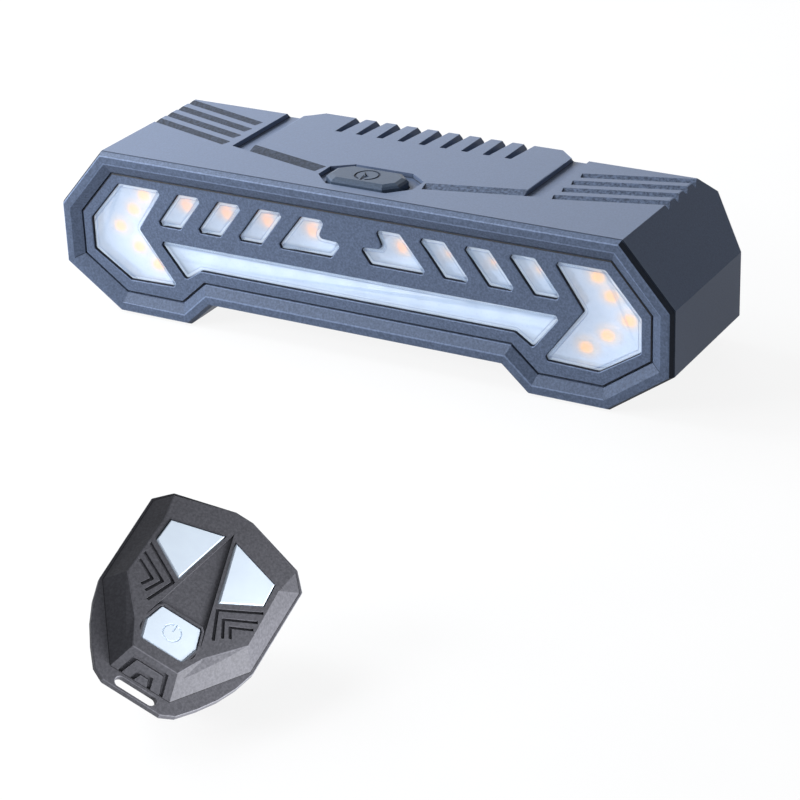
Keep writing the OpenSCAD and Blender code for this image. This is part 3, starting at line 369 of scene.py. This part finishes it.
# name, colour, roughness, and where they differ the scale of the skin, its depth in mm and metal
plainFinishes = {
    "white": ("white moulding", (0.8, 0.85, 0.92), 0.5),
    "black": ("black moulding", (0.02, 0.021, 0.025), 0.5),
    "rubber": ("rubber", (0.018, 0.018, 0.02), 0.75, 1500, 0.04),
    "board": ("laminate", (0.02, 0.12, 0.06), 0.4),
    "steel": ("bright metal", (0.62, 0.63, 0.65), 0.3, 1200, 0.01, 1.0),
    "sleeve": ("cell sleeve", (0.05, 0.16, 0.42), 0.3),
    "lead": ("lead insulation", (0.5, 0.02, 0.015), 0.4),
}
looks = {key: grainedPlastic(*values) for key, values in grainedFinishes.items()}
looks.update({key: plainMoulding(*values) for key, values in plainFinishes.items()})
looks.update({
    "lens": lensPlastic("frosted lens", tinted(milkBlue, 0.95), clear=0.67, glow=0.18),
    # the border is less clear and painted darker as shade; the line is a painted shade line
    "lensBorderShade": lensPlastic("lens border", tinted(milkBlue, 0.88), clear=0.4, glow=0.14),
    "lensShadeLine": lensPlastic("lens shade line", (0.3, 0.36, 0.52), clear=0.25, glow=0.1),
    "litBoard": litWhite("lit board", amberSpots, litBoard),
    "litStrip": litWhite("lit strip", barSpots, litStrip),
    # painted glow on the keys
    "key": paintedGlowKey("key plastic", (0.7, 0.8, 0.92), glow=0.16),
    # painted shade on the keys' rims
    "keyRimShade": paintedGlowKey("key rim, painted shade", (0.62, 0.71, 0.84), glow=0.1),
})
plainNodes = {
    "litBoard": ["led_board", "amber_leds_left", "amber_leds_right"],
    "litStrip": ["bar_diffuser", "bar_leds"],
    "white": ["light_box"],
    "board": ["control_board", "usb_board", "remote_board"],
    "black": ["front_frame", "board_link", "control_chips", "switch_body", "battery_cradle",
              "mount_bracket", "remote_chips", "battery_foam"],
    "rubber": ["housing_seal", "saddle_pad", "post_strap", "remote_saddle", "remote_band", "usb_cover"],
    "steel": ["radio_module", "usb_socket", "housing_screws", "bracket_screws", "strap_pins",
              "battery_contacts", "coin_cell", "coin_contact", "remote_switches"],
    "sleeve": ["battery_cell"],
    "lead": ["battery_leads", "usb_lead"],
    "key": ["switch_plunger"],
}
for look, names in plainNodes.items():
    for name in names:
        nodes[name].data.materials.clear()
        nodes[name].data.materials.append(looks[look])
print("materials made:", len(looks))


# Dressed copies of CAD nodes
bodyOf = {node: body for body, names in frame["record"]["behaviour"]["bodies"].items() for node in names}
flatAngle = math.radians(1)
sharpAngle = math.radians(25)


# a copy is merged, its flat faces joined and its sharp edges rounded, with widths in mm. Its looks are
# those of the body, of the rims with painted highlight or painted shade, and of creases and dark rims in
# painted shade, then others that paint picks for a face.
# joined can limit the vertices whose faces are joined, and pick the edges that are rounded
def dressed(node, trim, change=None, paint=None, pick=None, dark=None, joined=None):
    slots = trim["looks"]
    mesh = nodes[node].data.copy()
    mesh.name = "dressed_" + node
    mesh.materials.clear()
    for look in slots:
        mesh.materials.append(looks[look])
    bm = bmesh.new()
    bm.from_mesh(mesh)
    bmesh.ops.remove_doubles(bm, verts=bm.verts, dist=mergeGap)
    verts = [v for v in bm.verts if joined(v)] if joined else bm.verts[:]
    edges = [e for e in bm.edges if all(map(joined, e.verts))] if joined else bm.edges[:]
    bmesh.ops.dissolve_limit(bm, angle_limit=flatAngle, verts=verts, edges=edges)
    if change:
        change(bm)
    for face in bm.faces:
        face.smooth = False
        face.material_index = slots.index(paint(face)) if paint else 0
    sharp = [e for e in bm.edges if len(e.link_faces) == 2 and e.calc_face_angle(0) > sharpAngle]
    if pick:
        sharp = [e for e in sharp if pick(e)]
    rims = [e for e in sharp if e.is_convex]
    creases = [e for e in sharp if not e.is_convex]
    # the rims that dark picks are bevelled in the third look, as painted shade
    shaded = [e for e in rims if dark(e)] if dark else []
    rims = [e for e in rims if e not in shaded]
    for edges, part, slot in ((creases, "shadedCrease", 2), (shaded, "dark", 2), (rims, "rim", 1)):
        edges = [e for e in edges if e.is_valid]
        if edges and part in trim:
            made = bmesh.ops.bevel(
                bm, geom=edges, offset=trim[part] * mm, offset_type="OFFSET", segments=1,
                profile=0.5, affect="EDGES", clamp_overlap=False, material=slot,
            )
            for face in made["faces"]:
                face.smooth = False
    bm.to_mesh(mesh)
    bm.free()
    if "custom_normal" in mesh.attributes:
        mesh.attributes.remove(mesh.attributes["custom_normal"])
    piece = bpy.data.objects.new("dressed_" + node, mesh)
    bpy.context.collection.objects.link(piece)
    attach(piece, bodyOf[node])
    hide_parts(node)
    print("dressed:", node, len(mesh.polygons), "faces")


# whether an edge or a face lies in the plane at a depth
def atDepth(part, y):
    return all(abs(v.co.y - y) < planeGap for v in part.verts)


# twice the area that a loop of vertices goes round, seen from the front, with its sign
def loopTurn(loop):
    return sum(a.co.x * b.co.z - b.co.x * a.co.z for a, b in zip(loop, loop[1:] + loop[:1]))


# the loops of sharp edges at a depth, the widest first
def loopsAt(bm, y):
    free = {e for e in bm.edges if atDepth(e, y) and e.calc_face_angle(0) > sharpAngle}
    loops = []
    while free:
        edge = free.pop()
        first, last = edge.verts
        loop = [first, last]
        while last is not first:
            onward = [e for e in last.link_edges if e in free]
            if not onward:
                break
            free.discard(onward[0])
            last = onward[0].other_vert(last)
            loop.append(last)
        loops.append(loop[:-1] if loop[-1] is loop[0] else loop)
    return sorted(loops, key=lambda loop: -abs(loopTurn(loop)))


# moves a loop inwards in its own plane, by a distance in mm
def insetLoop(loop, distance):
    if loopTurn(loop) < 0:
        loop = loop[::-1]
    moves = []
    for before, here, after in zip(loop[-1:] + loop[:-1], loop, loop[1:] + loop[:1]):
        a = Vector((here.co.x - before.co.x, here.co.z - before.co.z)).normalized()
        b = Vector((after.co.x - here.co.x, after.co.z - here.co.z)).normalized()
        moves.append(Vector((-a.y - b.y, 0, a.x + b.x)) * (distance * mm / (1 + a.dot(b))))
    for vert, move in zip(loop, moves):
        vert.co += move


# bridges two loops that run alike, in place of what lay between them
def rebridged(bm, outer, inner, between):
    outside, inside = set(outer), set(inner)
    known = outside | inside | set(between)
    old = [f for f in bm.faces if set(f.verts) <= known and not set(f.verts) <= outside]
    bmesh.ops.delete(bm, geom=old, context="FACES_ONLY")
    bmesh.ops.delete(bm, geom=between, context="VERTS")
    rings = [e for e in bm.edges if set(e.verts) <= outside or set(e.verts) <= inside]
    bmesh.ops.bridge_loops(bm, edges=[e for e in rings if e.is_boundary])


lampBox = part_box("front_bezel")
frontY = lampBox[0][1]


# Rear housing: its vents and grooves have coarse slopes, those of the left half painted darker as shade
housing = {
    "looks": ["case", "caseRimHighlight", "shadedCrease", "coarseLeftShade", "coarseRight"],
    "rim": 0.13, "shadedCrease": 0.1, "dark": 0.1,
    "coarseUp": 0.8, "coarseLean": 0.15, "coarseFrom": 5,
}
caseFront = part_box("rear_housing")[0][1]


def housingPaint(face):
    n, place = face.normal, face.calc_center_median()
    leaning = n.z > housing["coarseUp"] and n.y < -housing["coarseLean"]
    if leaning and abs(place.y - frontY) > housing["coarseFrom"] * mm:
        return "coarseLeftShade" if place.x < 0 else "coarseRight"
    return "case"


# the seam round the case's front is bevelled in the crease's painted shade
dressed("rear_housing", housing, paint=housingPaint, dark=lambda edge: atDepth(edge, caseFront))


# Bezel: the solid's stepped front becomes one slope down to the mask, and its rim a slope out to the band
bezel = {
    "looks": ["bezel", "bezelRimHighlight", "shadedCrease", "bezelSideShade"],
    "rim": 0.16, "shadedCrease": 0.08, "dark": 0.12,
    "faceInset": 2.6, "slopeTop": 2.2, "rimSlope": 0.6, "stepY": 0.575, "maskY": 1.15, "bandY": 1.2,
    "endReach": 12, "endLean": 0.35, "endFlat": 0.6, "endY": 1.3,
}
maskFront = frontY + bezel["maskY"] * mm
bandFront = frontY + bezel["bandY"] * mm


def slopeBezel(bm):
    front = loopsAt(bm, frontY)
    step = loopsAt(bm, frontY + bezel["stepY"] * mm)
    insetLoop(front[1], bezel["slopeTop"] - bezel["faceInset"])
    insetLoop(front[0], bezel["rimSlope"])
    for vert in step[1]:
        vert.co.y = maskFront
    rebridged(bm, front[1], step[1], step[0])
    bmesh.ops.recalc_face_normals(bm, faces=bm.faces)


# its sides, painted dark as shade, are what faces outwards at the ends, in front of the band
def bezelPaint(face):
    n, place = face.normal, face.calc_center_median()
    atEnd = abs(place.x) > lampBox[1][0] - bezel["endReach"] * mm and place.y < frontY + bezel["endY"] * mm
    outwards = n.x * math.copysign(1, place.x) > bezel["endLean"] and abs(n.y) < bezel["endFlat"]
    return "bezelSideShade" if atEnd and outwards else "bezel"


# the edge round the band's front is bevelled in the crease's painted shade
dressed("front_bezel", bezel, change=slopeBezel, paint=bezelPaint,
        dark=lambda edge: atDepth(edge, bandFront))


# Mask: its window walls painted near black as shade, and a painted shadow line round its front
mask = {
    "looks": ["mask", "bezelRimHighlight", "black", "maskWallShade"],
    "rim": 0.14, "dark": 0.22, "wallFlat": 0.3,
}
maskSides = set()  # indices of the faces round the outside


def isWall(face):
    return abs(face.normal.y) < mask["wallFlat"]


def findMaskSides(bm):
    bm.faces.index_update()
    rim = set(loopsAt(bm, maskFront)[0])
    maskSides.update(f.index for f in bm.faces if isWall(f) and sum(v in rim for v in f.verts) > 1)


# these edges are bevelled in the black moulding: a painted shadow line in the gap round the mask
def onMaskRim(edge):
    return atDepth(edge, maskFront) and any(f.index in maskSides for f in edge.link_faces)


def maskPaint(face):
    return "maskWallShade" if isWall(face) and face.index not in maskSides else "mask"


dressed("front_mask", mask, change=findMaskSides, paint=maskPaint, dark=onMaskRim)


# Lens: a border, less clear and painted darker as shade, and a thin painted shade line set into each
# window
lens = {
    "looks": ["lens", "lensBorderShade", "lensShadeLine"],
    "rim": 0.12, "border": 0.62, "line": 0.13,
}
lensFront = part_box("front_lens")[0][1]
lensBorders = {}  # looks of the inset faces, by index


def borderLens(bm):
    front = [f for f in bm.faces if atDepth(f, lensFront)]
    rings = {}
    for look, width in (("lensBorderShade", lens["border"]), ("lensShadeLine", lens["line"])):
        made = bmesh.ops.inset_region(bm, faces=front, thickness=width * mm, use_even_offset=True)
        rings[look] = made["faces"]
    bm.faces.index_update()
    for look, faces in rings.items():
        lensBorders.update({f.index: look for f in faces})


def lensPaint(face):
    return lensBorders.get(face.index, "lens")


def inLensFront(vert):
    return abs(vert.co.y - lensFront) < planeGap


dressed("front_lens", lens, change=borderLens, paint=lensPaint,
        pick=lambda edge: atDepth(edge, lensFront), joined=inLensFront)


# Power button: a rounded rim, painted a little darker as shade, and the power sign's sunken line, painted
# dark as shade
button = {
    "looks": ["button", "buttonRimShade", "shadedCrease"],
    "rim": 0.45, "rimLength": 1.2, "signRadius": 2.8, "signDepth": 0.5,
}
buttonBox = [Vector(corner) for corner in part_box("power_button")]
buttonMiddle = (buttonBox[0] + buttonBox[1]) / 2
buttonTop = buttonBox[1].z


def onButtonRim(edge):
    atTop = all(abs(v.co.z - buttonTop) < planeGap for v in edge.verts)
    return atTop and edge.calc_length() > button["rimLength"] * mm


def buttonPaint(face):
    place = face.calc_center_median()
    near = (place - buttonMiddle).xy.length < button["signRadius"] * mm
    sunken = buttonTop - button["signDepth"] * mm < place.z < buttonTop - planeGap
    return "shadedCrease" if near and sunken else "button"


dressed("power_button", button, paint=buttonPaint, pick=onButtonRim)


# Remote: both shells and the keys, whose short edges stay sharp
remoteTop = {"looks": ["remote", "remoteRimHighlight", "remoteShadedCrease"], "rim": 0.1, "shadedCrease": 0.06}
remoteBottom = {"looks": ["remoteBase", "remoteRimHighlight"], "rim": 0.08}
remoteKey = {"looks": ["key", "keyRimShade"], "rim": 0.12, "rimLength": 2.5}


def onKeyRim(edge):
    return edge.calc_length() > remoteKey["rimLength"] * mm


dressed("remote_top_shell", remoteTop)
dressed("remote_base", remoteBottom)
for key in ("remote_left_key", "remote_right_key", "remote_power_key"):
    dressed(key, remoteKey, pick=onKeyRim)
print("pieces dressed")


# Floor: white to the camera, with only a share of the real shading left for the shadow; sizes in metres
floorLook = {
    "half": 1.5, "shadowShare": 0.12, "cloud": 40, "rough": 0.9,
    "shades": ((0.86, 0.86, 0.87), (0.9, 0.9, 0.9)), "unseen": (0.3, 0.3, 0.31),
}


def floorMaterial(look):
    m = Finish("floor")
    seen = m.seenRays()
    pale = m.ramp(m.noise(look["cloud"], 2), *look["shades"])
    m.set(Base_Color=m.mixed(seen, look["unseen"], pale), Roughness=look["rough"])
    white = m.add("ShaderNodeEmission", {"Color": (1, 1, 1), "Strength": 1.0}).outputs[0]
    m.show(m.maths("MULTIPLY", seen, 1 - look["shadowShare"]), m.shader.outputs[0], white)
    return m.material


def addFloor(look):
    bm = bmesh.new()
    bmesh.ops.create_grid(bm, x_segments=1, y_segments=1, size=look["half"])
    mesh = bpy.data.meshes.new("floor")
    bm.to_mesh(mesh)
    bm.free()
    mesh.materials.append(floorMaterial(look))
    floor = bpy.data.objects.new("floor", mesh)
    bpy.context.collection.objects.link(floor)


# Light: a soft sky, three lights for the lamp and one for the remote; distances and sizes in metres
skyLight = {"colour": (0.95, 0.97, 1.0), "strength": 0.24, "backdrop": (0.8, 0.8, 0.8)}
lampMiddle = Vector((0, 0.045, 0.02))
remoteMiddle = sum((Vector(corner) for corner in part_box("remote_top_shell")), Vector()) / 2
lampLights = {
    "backLight": {"from": (-0.6, 0.68, 0.42), "distance": 0.7, "size": (0.7, 0.5), "power": 1.8,
                  "colour": (0.95, 0.97, 1.0)},
    "leftLight": {"from": (-0.78, -0.05, 0.66), "distance": 0.42, "size": (0.3, 0.24), "power": 2.35,
                  "colour": (0.91, 0.955, 1.0)},
    "frontLight": {"from": (-0.68, -0.8, 0.45), "distance": 0.45, "size": (0.23, 0.17), "power": 1.9,
                   "colour": (0.94, 0.965, 1.0)},
}
remoteLight = {"from": (0.94, -0.14, -0.33), "distance": 0.09, "size": (0.1, 0.03), "power": 0.225,
               "colour": (1, 1, 1)}


def addSky(look):
    world = bpy.data.worlds.new("studio")
    w = NodeTree(world, "Background", "World Output")
    w.set(Color=look["colour"], Strength=look["strength"])
    backdrop = w.add("ShaderNodeBackground", {"Color": look["backdrop"]}).outputs[0]
    w.show(w.seenRays(), w.shader.outputs[0], backdrop)
    bpy.context.scene.world = world


def addLight(name, aim, look):
    data = bpy.data.lights.new(name, "AREA")
    data.shape = "RECTANGLE"
    data.size, data.size_y = look["size"]
    data.energy = look["power"]
    data.color = look["colour"]
    light = bpy.data.objects.new(name, data)
    light.location = aim + Vector(look["from"]).normalized() * look["distance"]
    light.rotation_euler = (aim - light.location).to_track_quat("-Z", "Y").to_euler()
    light.visible_camera = False
    bpy.context.collection.objects.link(light)
    return light


# a light that reaches only the remote's pieces, or all others
def lightOnly(light, remote):
    group = bpy.data.collections.new(light.name + " group")
    for piece in bpy.context.scene.objects:
        if piece.type == "MESH" and ("remote" in piece.name) == remote:
            group.objects.link(piece)
    light.light_linking.receiver_collection = group
    return group


addFloor(floorLook)
addSky(skyLight)
for name, look in lampLights.items():
    lightOnly(addLight(name, lampMiddle, look), remote=False)
sideLight = addLight("sideLight", remoteMiddle, remoteLight)
sideLight.light_linking.blocker_collection = lightOnly(sideLight, remote=True)
print("stage lit")
